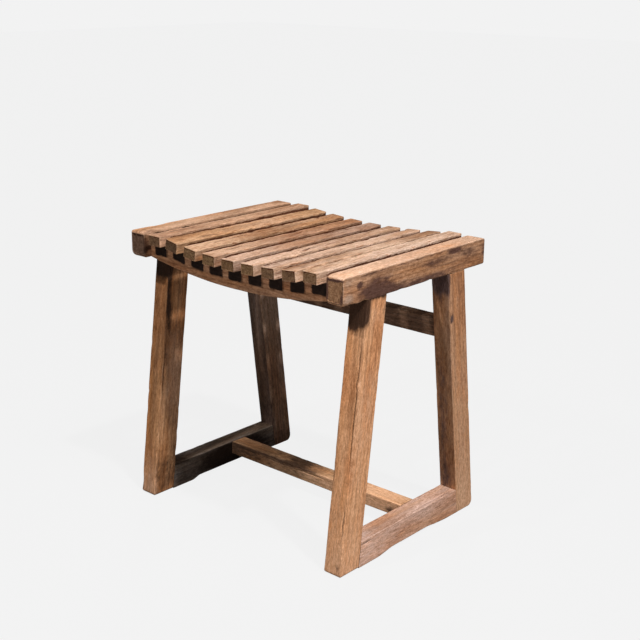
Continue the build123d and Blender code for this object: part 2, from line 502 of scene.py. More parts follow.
def height_on(line, x):
    """Height of a line of points at x."""
    for (x0, z0), (x1, z1) in zip(line, line[1:]):
        if x <= x1:
            return z0 + (z1 - z0) * (x - x0) / (x1 - x0)
    return line[-1][1]


def gap_shade_and_dirt(s, below, seed):
    """Darkening on a side that looks into a gap: a broken line of dirt under its edge, and painted shade
    with dirt on all of it deeper down.
    """
    line = smooth_step((soft_noise(s * 70, seed * 3.1, 0, seed) - 0.46) / 0.12)
    line *= math.exp(-((below - gap_rim) / gap_rim) ** 2)
    waver = gap_waver * (soft_noise(s * 38, seed * 5.7, 0, seed + 1) - 0.5)
    waver += 0.6 * gap_waver * (soft_noise(s * 150, seed * 2.3, 0, seed + 2) - 0.5)
    deep = smooth_step((below + waver - gap_start) / (gap_dark - gap_start))
    return (line_dirt * line + deep_gap_shade * deep) * smooth_step((s - clean_end) / clean_ramp)


def at_side(out, half):
    """1 on the side of a bar, where out comes near half its width, and 0 further in."""
    return smooth_step((out - half + 1.5 * arris) / (0.7 * arris))


def slat_gap_shade_and_dirt(seed):
    """Painted shade and dirt on the sides of a slat, deep in the gaps, behind its clean front end."""
    def shade_and_grime(s, a, b):
        return at_side(abs(a), slat_wide / 2) * gap_shade_and_dirt(s, -b, seed + (0.5 if a > 0 else 0.0))
    return shade_and_grime


def end_rail_gap_shade_and_dirt(side):
    """Painted shade and dirt on the side of an end rail that looks at the slats, deep in the gap."""
    def shade_and_grime(s, a, b):
        return at_side(-side * a, frame_thick / 2) * gap_shade_and_dirt(s, seat_top - b, 5 + side)
    return shade_and_grime


def seat_rail_slat_shadows(line):
    """Painted shadow on the front of a seat rail, under the front end of each slat."""
    shades = [x + (x + shade_lean) * shade_shift - shade_left for x, _, _ in slat_places()]

    def shade_and_grime(s, a, b):
        x, below = s - inner_half, height_on(line, s - inner_half) - b
        across = smooth_step((shade_half - min(abs(x - shade) for shade in shades)) / 0.003)
        down = smooth_step((shade_deep - below) / 0.003)
        return painted_shadow_strength * across * down if a < 0 else 0.0
    return shade_and_grime


def slat_bar(number, x, z, tilt):
    """One slat, from its front end to its back end."""
    lift, turn = warped.get(number, (0.0, 0.0))
    reach = half_rail + slat_overhang
    seed = 10 + number
    pale_y, pale_reach = slat_pale[number]

    def place(s, a, b):
        front = 1 - s / (2 * reach)
        angle = tilt + turn * front
        return Vector((x + a * math.cos(angle) - b * math.sin(angle), s - reach,
                       z + lift * front + a * math.sin(angle) + b * math.cos(angle)))

    return Bar(
        node=f"slat_{number}",
        long=2 * reach,
        bounds=lambda s: (-slat_wide / 2, slat_wide / 2, -slat_thick, 0.0),
        place=place,
        seed=seed,
        slot="slat_teak",
        arris=slat_arris,
        start_round=(0.0016, 0.0012),
        end_round=(slat_plan_round, 0.0012),
        chips=scattered_chips(seed, 30, 2 * reach, (1, 2), 0.0024),
        cracks=scattered_cracks(seed, slat_cracks[number - 1], 2 * reach, 2),
        pale_patches=[Spot((x, pale_y, z), (1, pale_reach, 0.010), 0.75)],
        shade_and_grime=slat_gap_shade_and_dirt(seed),
    )


def end_rail_bar(side):
    """An end rail, from front to back. side is -1 at the left and 1 at the right."""
    name = "right_end_rail" if side > 0 else "left_end_rail"
    outer_low, outer_high = (0, 1) if side > 0 else (3, 2)
    leg_top = half_rail - leg_top_inset
    tight = [(outer_low, leg_top - leg_wide + half_rail, leg_top + half_rail),
             (outer_low, half_rail - leg_top, half_rail - leg_top + leg_wide)]
    seed = 31 if side > 0 else 34
    return Bar(
        node=name,
        long=2 * half_rail,
        bounds=lambda s: (-frame_thick / 2, frame_thick / 2, rail_under, seat_top),
        place=lambda s, a, b: Vector((side * frame_x + a, s - half_rail, b)),
        seed=seed,
        start_round=(0.0016, rail_end_round),
        end_round=(0.0016, rail_end_round),
        arris=rail_arris,
        chips=scattered_chips(seed, 12, 2 * half_rail, (0, 1, 2, 3), 0.0022),
        snug=tight,
        shade_and_grime=end_rail_gap_shade_and_dirt(side),
    )


def leg_bar(name, side_x, side_y, seed):
    """A leg, from the floor up to the end rail. side_y is -1 at the front and 1 at the back."""
    foot_round = front_foot_round if side_y < 0 else back_foot_round

    def bounds(s):
        outer = leg_wide / 2 - drawn_in(s, foot_round)
        return -frame_thick / 2, frame_thick / 2, -leg_wide / 2, outer

    def place(s, a, b):
        return Vector((side_x * frame_x + a, side_y * (leg_face_y(s) - leg_wide / 2 + b), s))

    return Bar(
        node=name,
        long=rail_under,
        bounds=bounds,
        place=place,
        seed=seed,
        start_round=(foot_side_round[side_y], 0.0012),
        end_round=(0.0002, 0.0002),
        finer=tuple(foot_round * share for share in (0.08, 0.2, 0.4, 0.65, 1.0)),
        chips=scattered_chips(seed, 12, rail_under, (0, 1, 2, 3), 0.0018),
    )


def bottom_rail_bar(side):
    """A bottom rail, between the slanting inner faces of its legs."""
    name = "right_bottom_rail" if side > 0 else "left_bottom_rail"
    half = leg_face_y(0) - leg_wide

    def bounds(s):
        inside = half - foot_pad_long - abs(s - half)
        low = relief_deep * smooth_step(inside / relief_ramps[side])
        return -frame_thick / 2, frame_thick / 2, low, bottom_deep

    def place(s, a, b):
        reach = leg_face_y(b) - leg_wide
        return Vector((side * frame_x + a, (s / half - 1) * reach, b))

    return Bar(
        node=name,
        long=2 * half,
        bounds=bounds,
        place=place,
        seed=51 if side > 0 else 53,
        start_round=(0.0004, 0.0004),
        end_round=(0.0004, 0.0004),
        chips=scattered_chips(50 + side, 8, 2 * half, (1, 2, 3), 0.0016),
    )


def stretcher_bar(name, y, z, wide, deep, seed):
    """A straight bar between the two end frames, with its middle at y and z."""
    return Bar(
        node=name,
        long=2 * inner_half,
        bounds=lambda s: (-wide / 2, wide / 2, -deep / 2, deep / 2),
        place=lambda s, a, b: Vector((s - inner_half, y + a, z + b)),
        seed=seed,
        start_round=joint_round,
        end_round=joint_round,
        chips=scattered_chips(seed, 8, 2 * inner_half, (0, 1, 2, 3), 0.0014),
    )


def seat_rail_bar(name, side_y, seed):
    """A curved seat rail: an arched belly below, and a flat for each slat above."""
    line = seat_line(front_places() if side_y < 0 else slat_places())
    radius = (inner_half**2 + seat_rail_belly**2) / (2 * seat_rail_belly)

    def bounds(s):
        x = min(max(s - inner_half, -inner_half), inner_half)
        belly = rail_under - seat_rail_belly + radius - math.sqrt(radius**2 - x**2)
        return -seat_rail_thick / 2, seat_rail_thick / 2, belly, height_on(line, x)

    return Bar(
        node=name,
        long=2 * inner_half,
        bounds=bounds,
        place=lambda s, a, b: Vector((s - inner_half, side_y * seat_rail_y() + a, b)),
        seed=seed,
        arris=seat_rail_arris,
        start_round=joint_round,
        end_round=joint_round,
        chips=scattered_chips(seed, 6, 2 * inner_half, (0, 3), 0.0016),
        shade_and_grime=seat_rail_slat_shadows(line),
    )


@dataclass
class Marks:
    """What use has left on one piece, beside its even wear, with painted shade and painted light on some
    pieces.
    """
    cracks: tuple = ()
    chips: tuple = ()
    stains_and_shadows: tuple = ()
    pale_patches: tuple = ()
    sides: dict = field(default_factory=dict)


def right_spot(y, z, reach_y, reach_z, strength):
    """A patch on the outer faces of the right end frame."""
    return Spot((right_face, y, z), (skin, reach_y, reach_z), strength)


def left_spot(y, z, reach_y, reach_z, strength):
    """A patch on the inner faces of the left end frame."""
    return Spot((left_face, y, z), (skin, reach_y, reach_z), strength)


def slat_spot(x, y, reach_y, strength):
    """A patch across the top of a slat."""
    return Spot((x, y, 0.44), (0.02, reach_y, 0.02), strength)


marks = {
    "right_end_rail": Marks(
        chips=(
            Chip(0, 0.004, 0.006, 0.004), Chip(0, 0.016, 0.005, 0.0025), Chip(0, 0.045, 0.006, 0.003),
            Chip(1, 0.3, 0.008, 0.002), Chip(2, 0.003, 0.004, 0.003), Chip(3, 0.002, 0.005, 0.003),
        ),
        stains_and_shadows=(
            right_spot(0.03, 0.428, 0.15, 0.02, 0.36), right_spot(-0.088, 0.416, 0.034, 0.01, 1.1),
            right_spot(-0.095, 0.434, 0.03, 0.01, 0.55), right_spot(-0.125, 0.422, 0.02, 0.01, 0.35),
            right_spot(0.0, 0.413, 0.09, 0.006, 0.65), right_spot(0.04, 0.436, 0.03, 0.006, 0.4),
            right_spot(-0.134, 0.434, 0.0055, 0.005, 1.1), right_spot(-0.03, 0.4466, 0.11, 0.0011, 0.75),
            right_spot(-0.11, 0.4462, 0.022, 0.0013, 0.6), right_spot(0.088, 0.444, 0.016, 0.004, 1.0),
            right_spot(0.125, 0.436, 0.022, 0.01, 0.45), right_spot(0.164, 0.43, 0.005, 0.02, 0.55),
            Spot((0.206, -0.168, 0.4456), (0.014, 0.003, 0.0016), 1.5),
            Spot((0.19, -0.168, 0.428), (0.003, 0.003, 0.02), 1.0),
            Spot((0.216, -0.168, 0.42), (0.003, 0.003, 0.012), 0.8),
            Spot((0.204, -0.168, 0.436), (0.008, 0.003, 0.004), 0.45),
            Spot((0.204, 0.055, 0.45), (0.03, 0.06, 0.002), 0.32),
        ),
        pale_patches=(
            Spot((0.2, -0.06, 0.45), (1, 0.17, 0.002), 1.0),
            Spot((0.2, 0.15, 0.45), (1, 0.04, 0.002), 0.8),
            right_spot(-0.16, 0.418, 0.012, 0.01, 1.0), right_spot(-0.158, 0.442, 0.01, 0.006, 0.7),
            Spot((0.204, -0.168, 0.425), (0.007, 0.003, 0.008), 0.9),
            Spot((0.204, -0.168, 0.449), (0.014, 0.003, 0.002), 1.2),
        ),
        sides={1: 0.4},
    ),
    "left_end_rail": Marks(
        chips=(Chip(3, 0.003, 0.008, 0.005), Chip(2, 0.05, 0.01, 0.0022)),
        stains_and_shadows=(
            Spot((-0.2, -0.168, 0.42), (0.05, 0.004, 0.05), 0.3),
            Spot((-0.2, -0.15, 0.45), (0.05, 0.022, 0.003), 0.4),
            left_spot(-0.165, 0.43, 0.034, 0.016, 0.8),
        ),
        pale_patches=(Spot((-0.2, -0.06, 0.45), (1, 0.09, 0.002), 0.6),),
        sides={1: 0.1},
    ),
    "front_right_leg": Marks(
        cracks=(
            Crack(2, 0.165, 0.352, 0.09, 0.002, 0.0014, 0.03),
            Crack(2, 0.06, 0.105, 0.1, 0.0014, 0.0012),
        ),
        chips=(
            Chip(1, 0.289, 0.006, 0.003), Chip(1, 0.08, 0.008, 0.0016),
            Chip(2, 0.15, 0.01, 0.0015),
        ),
        stains_and_shadows=(
            Spot((0.213, -0.166, 0.014), (0.004, 0.004, 0.006), 0.6),
            # Painted shadow of the end rail on the top of the leg's front face
            Spot((0.204, -0.118, 0.4), (0.04, 0.008, 0.027), 2.0),
            Spot((0.198, -0.121, 0.372), (0.009, 0.005, 0.02), 0.7),
            right_spot(-0.088, 0.4095, 0.024, 0.004, 0.9), right_spot(-0.08, 0.39, 0.004, 0.02, 0.45),
        ),
        pale_patches=(
            Spot((0.2, -0.165, 0.0), (0.1, 0.1, 0.11), 0.8),
            right_spot(-0.12, 0.23, 0.05, 0.09, 0.7), right_spot(-0.131, 0.289, 0.004, 0.005, 1.2),
            right_spot(-0.1, 0.385, 0.05, 0.016, 0.5),
        ),
    ),
    "front_left_leg": Marks(
        cracks=(Crack(1, 0.085, 0.26, 0.93, 0.0012, 0.0014, 0.03),),
        chips=(Chip(1, 0.075, 0.004, 0.0025), Chip(2, 0.02, 0.012, 0.0025), Chip(3, 0.0, 0.009, 0.006)),
        stains_and_shadows=(
            left_spot(-0.098, 0.395, 0.05, 0.034, 0.5), left_spot(-0.123, 0.32, 0.009, 0.05, 0.9),
            left_spot(-0.132, 0.24, 0.006, 0.04, 0.6), left_spot(-0.14, 0.03, 0.05, 0.06, 0.6),
            # Painted shadow of the end rail on the top of the leg's front face
            Spot((-0.204, -0.119, 0.394), (0.03, 0.007, 0.026), 2.0),
        ),
        pale_patches=(
            Spot((-0.2, -0.167, 0.0), (0.1, 0.008, 0.15), 0.8),
            Spot((-0.2165, -0.144, 0.183), (0.002, 0.003, 0.003), 1.2),
            left_spot(-0.112, 0.225, 0.02, 0.07, 0.7), left_spot(-0.112, 0.16, 0.04, 0.07, 0.5),
        ),
        sides={1: 0.25},
    ),
    "back_right_leg": Marks(
        stains_and_shadows=(
            Spot((0.204, 0.075, 0.395), (0.03, 0.004, 0.04), 1.0),
            Spot((0.204, 0.117, 0.055), (0.03, 0.004, 0.04), 0.3),
            right_spot(0.088, 0.336, 0.004, 0.007, 1.0), right_spot(0.1, 0.38, 0.03, 0.05, 0.35),
            Spot((0.2, 0.105, 0.17), (0.012, 0.06, 0.2), 0.55),
        ),
        pale_patches=(right_spot(0.15, 0.0, 0.06, 0.12, 1.1), right_spot(0.11, 0.2, 0.05, 0.09, 0.5)),
        sides={0: 0.32},
    ),
    "back_left_leg": Marks(
        stains_and_shadows=(
            left_spot(0.1, 0.395, 0.06, 0.035, 0.9), left_spot(0.145, 0.02, 0.06, 0.05, 0.4),
            Spot((-0.204, 0.117, 0.08), (0.03, 0.006, 0.14), 0.6),
        ),
        pale_patches=(left_spot(0.115, 0.29, 0.05, 0.08, 0.9),),
        sides={0: 0.75},
    ),
    "right_bottom_rail": Marks(
        cracks=(
            Crack(2, 0.135, 0.235, 0.16, 0.0014, 0.0018),
            Crack(1, 0.002, 0.022, 0.88, 0.0014, 0.0012),
        ),
        chips=(Chip(0, 0.2, 0.01, 0.002),),
        stains_and_shadows=(right_spot(0.11, 0.02, 0.03, 0.02, 0.35),),
        pale_patches=(
            right_spot(-0.1, 0.02, 0.06, 0.03, 0.8),
            Spot((0.2, -0.12, 0.042), (0.1, 0.04, 0.002), 1.0),
        ),
        sides={2: 0.42},
    ),
    "left_bottom_rail": Marks(
        stains_and_shadows=(
            # Painted shadow of the front leg on the top, and painted shade with dirt on the inner face
            Spot((-0.204, -0.11, 0.042), (0.1, 0.04, 0.002), 0.7),
            left_spot(0.01, 0.02, 0.07, 0.03, 1.3), left_spot(-0.095, 0.02, 0.05, 0.03, 0.33),
            left_spot(0.08, 0.02, 0.04, 0.03, 0.4),
        ),
        sides={1: 0.5},
    ),
    "low_stretcher": Marks(
        cracks=(
            Crack(3, 0.012, 0.215, 0.22, 0.001, 0.0014, 0.1),
            Crack(2, 0.2, 0.32, 0.35, 0.0008, 0.001),
        ),
        stains_and_shadows=(
            # The first four patches paint the seat's shade on the left part of the front and top; the
            # fifth paints a shadow at the right end of the front
            Spot((-0.17, 0.014, 0.032), (0.11, 0.002, 0.03), 0.75),
            Spot((-0.15, 0.03, 0.042), (0.06, 0.1, 0.003), 0.3),
            Spot((-0.035, 0.034, 0.042), (0.06, 0.1, 0.003), 0.75),
            Spot((-0.035, 0.014, 0.032), (0.045, 0.002, 0.03), 0.3),
            Spot((0.172, 0.014, 0.026), (0.022, 0.002, 0.008), 0.7),
            Spot((0.06, 0.014, 0.024), (0.02, 0.002, 0.003), 0.6),
        ),
        pale_patches=(
            # Painted light: the lit right part of the front and top made paler
            Spot((0.11, 0.014, 0.032), (0.095, 0.002, 0.03), 1.8),
            Spot((0.13, 0.034, 0.042), (0.07, 0.1, 0.002), 0.7),
        ),
        sides={2: 0.26},
    ),
    "back_stretcher": Marks(
        stains_and_shadows=(
            Spot((-0.1, 0.083, 0.327), (0.06, 0.002, 0.004), 1.1),
            Spot((0.17, 0.083, 0.315), (0.02, 0.002, 0.04), 1.0),
            Spot((0.03, 0.083, 0.315), (0.018, 0.002, 0.04), 0.5),
            Spot((0.1, 0.083, 0.328), (0.03, 0.002, 0.003), 0.9),
        ),
        sides={2: 0.4},
    ),
    "front_seat_rail": Marks(
        chips=(Chip(0, 0.095, 0.004, 0.002), Chip(0, 0.21, 0.01, 0.0012)),
    ),
    "slat_2": Marks(stains_and_shadows=(slat_spot(-0.121, 0.15, 0.03, 0.34),)),
    "slat_3": Marks(stains_and_shadows=(slat_spot(-0.081, 0.01, 0.034, 0.33),)),
    "slat_4": Marks(stains_and_shadows=(slat_spot(-0.04, 0.02, 0.036, 0.37),), sides={1: 0.3}),
    "slat_5": Marks(stains_and_shadows=(slat_spot(0.0, 0.055, 0.04, 0.37),), sides={1: 0.3}),
    "slat_6": Marks(stains_and_shadows=(slat_spot(0.04, 0.02, 0.036, 0.37),)),
    "slat_7": Marks(stains_and_shadows=(slat_spot(0.081, -0.155, 0.022, 0.4),)),
    "slat_8": Marks(
        stains_and_shadows=(slat_spot(0.121, -0.145, 0.036, 0.48), slat_spot(0.121, 0.16, 0.034, 0.42)),
        pale_patches=(Spot((0.134, -0.168, 0.436), (0.003, 0.02, 0.012), 0.8),),
    ),
    "slat_9": Marks(
        cracks=(Crack(2, 0.06, 0.1055, 0.22, 0.0011, 0.0008, 0.06),),
        stains_and_shadows=(slat_spot(0.161, 0.155, 0.024, 0.34),),
    ),
}


def all_bars():
    """Every length of wood, with its marks."""
    back_z = rail_under - back_drop - back_deep / 2
    back_y = leg_face_y(back_z) - leg_wide / 2
    bars = [
        end_rail_bar(1),
        end_rail_bar(-1),
        leg_bar("front_right_leg", 1, -1, 41),
        leg_bar("front_left_leg", -1, -1, 42),
        leg_bar("back_right_leg", 1, 1, 43),
        leg_bar("back_left_leg", -1, 1, 44),
        bottom_rail_bar(1),
        bottom_rail_bar(-1),
        stretcher_bar("low_stretcher", low_y, bottom_deep - low_deep / 2, low_wide, low_deep, 61),
        stretcher_bar("back_stretcher", back_y, back_z, back_wide, back_deep, 62),
        seat_rail_bar("front_seat_rail", -1, 71),
        seat_rail_bar("back_seat_rail", 1, 72),
    ]
    for number, (x, z, tilt) in enumerate(slat_places(), start=1):
        bars.append(slat_bar(number, x, z, tilt))
    for bar in bars:
        mark = marks.get(bar.node, Marks())
        for label in ("cracks", "chips", "stains_and_shadows", "pale_patches"):
            getattr(bar, label).extend(getattr(mark, label))
        bar.sides.update(mark.sides)
    return bars


# Materials


def srgb(red, green, blue):
    """A linear colour from screen values of 0 to 255."""
    def linear(value):
        c = value / 255
        return c / 12.92 if c <= 0.04045 else ((c + 0.055) / 1.055) ** 2.4
    return linear(red), linear(green), linear(blue), 1.0


class Graph:
    """Adds nodes to a tree. An input, by name or number, is a socket to join or a value to set."""

    def __init__(self, tree):
        self.tree = tree

    def node(self, kind, inputs=None, out=0, **settings):
        made = self.tree.nodes.new("ShaderNode" + kind)
        for key, value in settings.items():
            setattr(made, key, value)
        for key, value in (inputs or {}).items():
            if isinstance(value, bpy.types.NodeSocket):
                self.tree.links.new(value, made.inputs[key])
            else:
                made.inputs[key].default_value = value
        return made.outputs[out]

    def math(self, operation, a, b=0.0):
        return self.node("Math", {0: a, 1: b}, operation=operation)

    def plus(self, a, b):
        return self.math("ADD", a, b)

    def minus(self, a, b):
        return self.math("SUBTRACT", a, b)

    def times(self, a, b):
        return self.math("MULTIPLY", a, b)

    def mix(self, share, a, b, blend="MIX"):
        return self.node("Mix", {0: share, 6: a, 7: b}, out=2, data_type="RGBA", blend_type=blend)

    def vector(self, operation, a, b):
        return self.node("VectorMath", {0: a, 1: b}, operation=operation)

    def noise(self, vector, scale, detail=3.0, roughness=0.55):
        stretched = self.vector("MULTIPLY", vector, scale)
        values = {"Vector": stretched, "Scale": 1.0, "Detail": detail, "Roughness": roughness}
        return self.node("TexNoise", values)

    def step(self, value, low, high):
        values = {"Value": value, "From Min": low, "From Max": high}
        return self.node("MapRange", values, interpolation_type="SMOOTHSTEP")

    def attribute(self, name, out="Fac"):
        return self.node("Attribute", out=out, attribute_name=name)

    def surface(self, kind, shader):
        """Joins a shader to the output of a material or of the world."""
        output = self.tree.nodes.new("ShaderNodeOutput" + kind)
        self.tree.links.new(shader, output.inputs["Surface"])


def cleared(owner):
    """Clears the nodes of a material or of the world, and gives back its graph."""
    owner.use_nodes = True
    owner.node_tree.nodes.clear()
    return Graph(owner.node_tree)


teak_colours = ("Light", "Warm", "Dark", "Line", "Stain", "Pale", "End")
teak_shares = ("Streaks", "Blotches", "Rings", "Spacing", "Edges", "Flecks")
teak_places = ("Pith", "Seed")


def ring_lines(g, grain, place, given, streak):
    """Soft dark lines where the growth rings meet the surface, from the distance to the pith."""
    slow = g.noise(place, (4, 26, 26), 2.0)
    flat = g.vector("MULTIPLY", g.vector("SUBTRACT", grain, given["Pith"]), (0, 1, 1))
    radius = g.node("VectorMath", {0: flat}, out=1, operation="LENGTH")
    bent = g.plus(g.plus(radius, g.times(slow, 0.03)), g.times(streak, 0.005))
    ring = g.math("FRACT", g.math("DIVIDE", bent, given["Spacing"]))
    return g.times(g.step(ring, 0.35, 0.9), g.step(ring, 1.0, 0.9))


def teak_group():
    """Colour, roughness and height of teak, from the attributes that each bar carries."""
    tree = bpy.data.node_groups.new("teak", "ShaderNodeTree")
    sockets = [("Color", "OUTPUT", "Color")]
    sockets += [(name, "INPUT", "Color") for name in teak_colours]
    sockets += [(name, "INPUT", "Float") for name in teak_shares]
    sockets += [(name, "INPUT", "Vector") for name in teak_places]
    sockets += [(name, "OUTPUT", "Float") for name in ("Roughness", "Height")]
    for name, way, kind in sockets:
        tree.interface.new_socket(name, in_out=way, socket_type="NodeSocket" + kind)
    given = tree.nodes.new("NodeGroupInput").outputs
    g = Graph(tree)
    grain = g.attribute("grain", "Vector")
    place = g.vector("ADD", grain, given["Seed"])

    broad = g.noise(place, (5, 48, 48), 3.0)
    streak = g.noise(place, (22, 280, 280), 4.0, 0.6)
    stroke = g.noise(place, (100, 430, 430), 3.0, 0.6)
    fleck = g.noise(place, (42, 400, 400), 3.0, 0.6)
    grit = g.noise(place, (300, 460, 460), 2.0, 0.6)
    fine = g.noise(place, (45, 1100, 1100), 4.0, 0.65)
    pores = g.step(g.noise(place, (70, 1300, 1300), 2.0), 0.61, 0.72)
    cloud = g.noise(place, (9, 26, 26), 2.0)
    mottle = g.noise(place, (55, 130, 130), 5.0, 0.65)
    ragged = g.noise(place, (60, 130, 130), 5.0, 0.65)
    torn = g.noise(place, (90, 230, 230), 4.0, 0.7)
    lines = ring_lines(g, grain, place, given, streak)
    end, wear = g.attribute("end"), g.attribute("wear")

    colour = g.mix(g.step(broad, 0.36, 0.66), given["Light"], given["Warm"])
    blend = g.step(g.plus(g.times(streak, 0.7), g.times(fine, 0.3)), 0.40, 0.66)
    colour = g.mix(g.times(blend, given["Streaks"]), colour, given["Dark"])
    colour = g.mix(g.times(lines, given["Rings"]), colour, given["Line"])
    patches = g.plus(g.times(mottle, 0.55), g.times(cloud, 0.45))
    colour = g.mix(g.times(g.step(patches, 0.46, 0.66), given["Blotches"]), colour, given["Dark"])
    colour = g.mix(g.times(g.step(fine, 0.5, 0.72), 0.3), colour, given["Dark"])
    colour = g.mix(g.times(pores, 0.4), colour, given["Line"])
    colour = g.mix(g.times(g.step(cloud, 0.38, 0.70), 0.8), colour, (1.02, 0.88, 0.77, 1.0), "MULTIPLY")

    # Pale patches: worn wood, with painted light on the lit part of the low stretcher
    pale_patches = g.plus(g.attribute("pale_patches"), g.times(g.minus(mottle, 0.5), 0.9))
    colour = g.mix(g.times(g.step(pale_patches, 0.05, 1.0), 0.65), colour, given["Pale"])
    worn = g.step(g.plus(wear, g.times(g.minus(ragged, 0.5), 1.3)), 0.75, 1.05)
    colour = g.mix(g.times(worn, given["Edges"]), colour, given["Pale"])

    outline = g.times(g.step(wear, 0.80, 0.95), g.minus(1.0, worn))
    colour = g.mix(g.times(outline, given["Edges"]), colour, given["Line"])

    speck = g.noise(place, (190, 190, 190), 4.0, 0.65)
    end_dark = g.mix(1.0, given["End"], (0.54, 0.50, 0.46, 1.0), "MULTIPLY")
    end_colour = g.mix(g.step(speck, 0.36, 0.72), given["End"], end_dark)
    end_colour = g.mix(g.times(lines, 0.25), end_colour, given["Line"])
    colour = g.mix(end, colour, end_colour)

    # A whole side made evenly darker: painted shade on sides that lie in the stool's shade, and darker
    # wood on others
    colour = g.mix(g.attribute("side_darkening"), colour, g.mix(1.0, colour, (0.42, 0.46, 0.51, 1.0), "MULTIPLY"))
    # Stains, dirt and painted shade and shadow all take the stain colour
    edge = g.plus(g.times(ragged, 0.7), g.times(torn, 0.6))
    stain_and_shade_mask = g.step(g.plus(g.attribute("stain"), g.minus(edge, 0.65)), 0.22, 0.80)
    colour = g.mix(g.times(stain_and_shade_mask, 0.94), colour, given["Stain"])

    rust = g.mix(1.0, colour, (0.60, 0.43, 0.31, 1.0), "MULTIPLY")
    colour = g.mix(g.times(g.step(fleck, 0.57, 0.64), given["Flecks"]), colour, rust)
    shimmer = g.plus(g.times(stroke, 1.5), grit)
    shimmer = g.minus(g.plus(shimmer, g.times(streak, 0.7)), 0.6)
    warm_shimmer = g.node("CombineColor", {
        0: g.math("POWER", shimmer, 0.85), 1: shimmer, 2: g.math("POWER", shimmer, 1.2)})
    colour = g.mix(1.0, colour, warm_shimmer, "MULTIPLY")

    rough = g.plus(g.plus(g.times(fine, 0.22), 0.52), g.times(end, 0.2))
    height = g.minus(g.times(streak, 0.8), g.times(lines, 0.25))
    parts = ((fine, 0.5), (pores, -0.5), (mottle, 0.3), (stroke, 0.5), (outline, -0.3))
    for part, share in (*parts, (g.times(speck, end), 0.6)):
        height = g.plus(height, g.times(part, share))
    outputs = tree.nodes.new("NodeGroupOutput")
    for name, socket in (("Color", colour), ("Roughness", rough), ("Height", height)):
        tree.links.new(socket, outputs.inputs[name])
    return tree


@dataclass
class Tone:
    """The colours and figure of one piece's wood. The others are shades of its middle colour."""
    wood: tuple
    pale: tuple
    stain: tuple = (72, 50, 42)
    end: tuple = (128, 98, 72)
    streaks: float = 0.5
    blotches: float = 0.55
    rings: float = 0.4
    spacing: float = 0.009
    edges: float = 0.45
    flecks: float = 0.28
    pith: tuple = (0, 0.01, -0.06)

    def colours(self):
        wood = srgb(*self.wood)
        warm = (wood[0] * 1.2, wood[1] * 1.05, wood[2] * 0.85, 1.0)
        return {
            "Light": shade(wood, 1.35), "Warm": warm, "Dark": shade(wood, 0.52), "Line": shade(wood, 0.28),
            "Stain": srgb(*self.stain), "Pale": srgb(*self.pale), "End": srgb(*self.end),
        }


def shade(colour, share):
    """A lighter or darker wood. The darker it is, the redder."""
    red, green, blue, alpha = colour
    return red * share, green * share**1.12, blue * share**1.25, alpha


def teak(name, tone, seed, group):
    """The material of one piece."""
    material = bpy.data.materials.new(name)
    g = cleared(material)
    wood = material.node_tree.nodes.new("ShaderNodeGroup")
    wood.node_tree = group
    for label, colour in tone.colours().items():
        wood.inputs[label].default_value = colour
    for label in teak_shares:
        wood.inputs[label].default_value = getattr(tone, label.lower())
    wood.inputs["Pith"].default_value = tone.pith
    wood.inputs["Seed"].default_value = (0.37 * seed, 0.113 * seed, 0.071 * seed)
    bump = g.node("Bump", {"Strength": 0.55, "Distance": 0.0005, "Height": wood.outputs["Height"]})
    g.surface("Material", g.node("BsdfPrincipled", {
        "Base Color": wood.outputs["Color"], "Roughness": wood.outputs["Roughness"], "Normal": bump,
        "Specular IOR Level": 0.15}))
    return material


def screw_steel():
    """Dull steel with brown spots of rust."""
    material = bpy.data.materials.new("screw_steel")
    g = cleared(material)
    place = g.node("TexCoord", out="Object")
    rust = g.step(g.noise(place, (900, 900, 900), 4.0, 0.6), 0.45, 0.65)
    brushed = g.noise(place, (4000, 4000, 600), 2.0)
    metal = g.mix(brushed, srgb(120, 118, 112), srgb(165, 162, 155))
    bump = g.node("Bump", {"Strength": 0.4, "Distance": 0.0002, "Height": rust})
    g.surface("Material", g.node("BsdfPrincipled", {
        "Base Color": g.mix(rust, metal, srgb(92, 58, 38)), "Roughness": g.plus(g.times(rust, 0.4), 0.35),
        "Metallic": g.minus(1.0, rust), "Normal": bump}))
    return material


